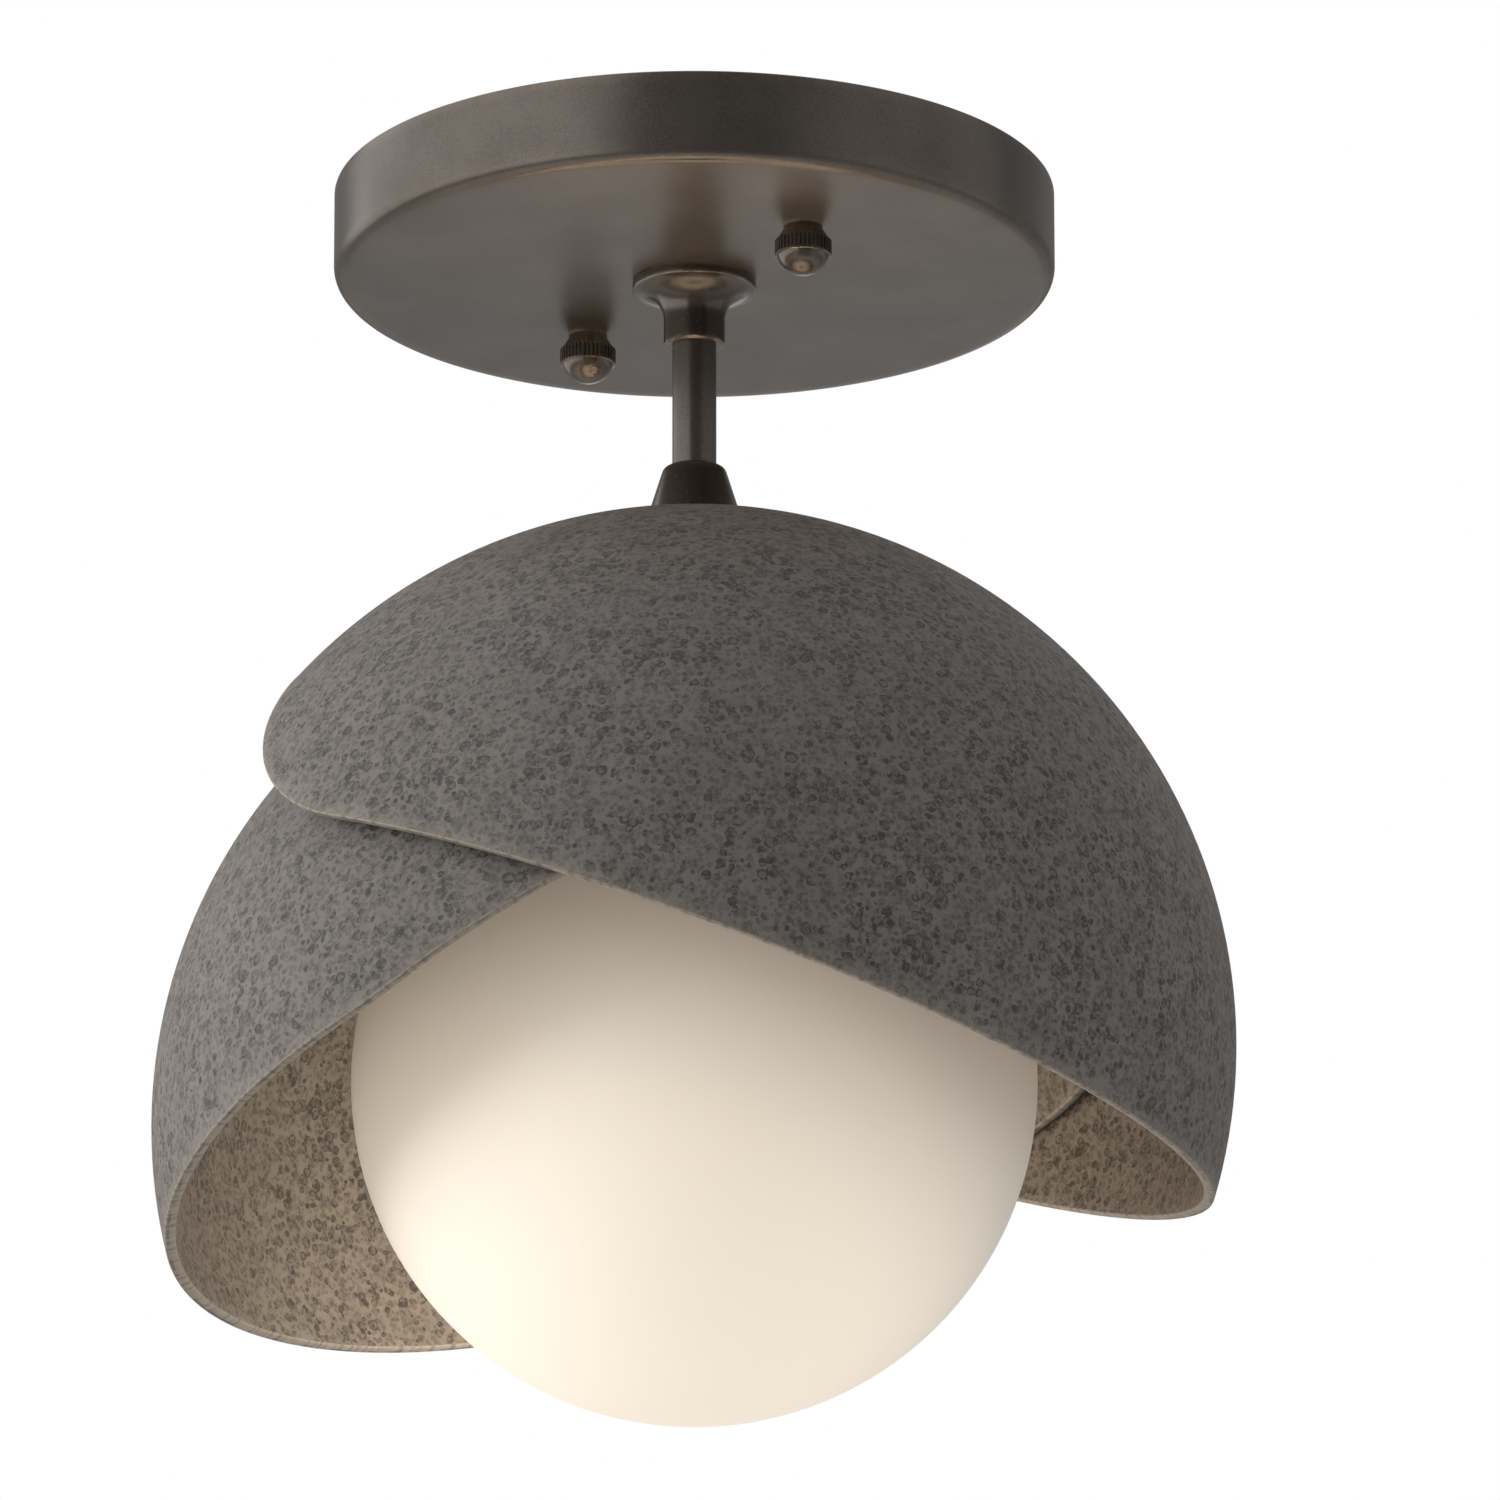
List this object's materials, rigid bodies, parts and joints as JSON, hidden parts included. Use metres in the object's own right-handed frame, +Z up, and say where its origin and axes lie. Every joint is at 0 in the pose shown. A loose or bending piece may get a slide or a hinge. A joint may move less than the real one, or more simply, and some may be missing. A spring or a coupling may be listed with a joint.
{
  "type": "semi flush ceiling light",
  "caption": "Round ceiling canopy and short stem carrying overlapping slant-cut dome shades around a glowing opal glass globe.",
  "frame": {"origin": "on the ceiling, at the centre of the canopy's top rim, where the fitting meets the ceiling box", "axes": "+Z up, out of the ceiling box side; the stem and globe hang along -Z; +X is to the right and -Y towards the viewer in the picture"},
  "size_m": [0.1912, 0.1905, 0.2268],
  "materials": {
    "zinc_steel": "dull zinc plate",
    "bronze": "satin dark bronze with rubbed lighter edges",
    "shade_finish": "matte warm grey mottled with small dark rings",
    "holder_white": "satin white enamel",
    "gasket": "soft matte",
    "opal_glass": "matte opal, lit from inside",
    "socket_ceramic": "unglazed off-white",
    "contact_brass": "bright",
    "pin_nickel": "bright nickel",
    "clear_glass": "clear",
    "lit_element": "glowing warm white",
    "live_insulation": "black insulation",
    "neutral_insulation": "white insulation",
    "ground_green": "green",
    "connector_plastic": "orange moulded"
  },
  "bodies": {
    "fixture": {"mounting_plate": "zinc_steel", "canopy_studs": "zinc_steel", "stud_lock_nuts": "zinc_steel", "upper_nipple": "zinc_steel", "upper_star_washer": "zinc_steel", "upper_lock_nut": "zinc_steel", "lower_nipple": "zinc_steel", "shade_washer": "zinc_steel", "holder_spacer": "zinc_steel", "shade_spacer": "zinc_steel", "lower_lock_nut": "zinc_steel", "socket_bracket": "zinc_steel", "socket_screws": "zinc_steel", "canopy": "bronze", "collar": "bronze", "stem": "bronze", "shade_cup": "bronze", "outer_shade": "shade_finish", "inner_shade": "shade_finish", "globe_holder": "holder_white", "neck_gasket": "gasket", "lamp_socket": "socket_ceramic", "socket_contacts": "contact_brass", "live_lead": "live_insulation", "neutral_lead": "neutral_insulation", "ground_screw": "ground_green", "ground_lead": "ground_green", "splice_connectors": "connector_plastic"},
    "cap_nut_near": {"cap_nut_near": "bronze"},
    "cap_nut_far": {"cap_nut_far": "bronze"},
    "globe": {"globe": "opal_glass"},
    "lamp": {"lamp_pins": "pin_nickel", "lamp_base": "socket_ceramic", "lamp_envelope": "clear_glass", "lamp_element": "lit_element"}
  },
  "joints": [
    {"name": "near_nut_turn", "type": "hinge", "parent": "fixture", "child": "cap_nut_near", "pos_m": [0.01933, -0.02909, -0.02], "axis": [0, 0, -1], "range_deg": [0, 2520]},
    {"name": "far_nut_turn", "type": "hinge", "parent": "fixture", "child": "cap_nut_far", "pos_m": [-0.01933, 0.02909, -0.02], "axis": [0, 0, -1], "range_deg": [0, 2520]},
    {"name": "globe_unscrew", "type": "hinge", "parent": "fixture", "child": "globe", "pos_m": [0, 0, -0.09], "axis": [0, 0, -1], "range_deg": [0, 540]},
    {"name": "lamp_pull", "type": "slide", "parent": "fixture", "child": "lamp", "axis": [0, 0, -1], "range_m": [0, 0.012]}
  ]
}
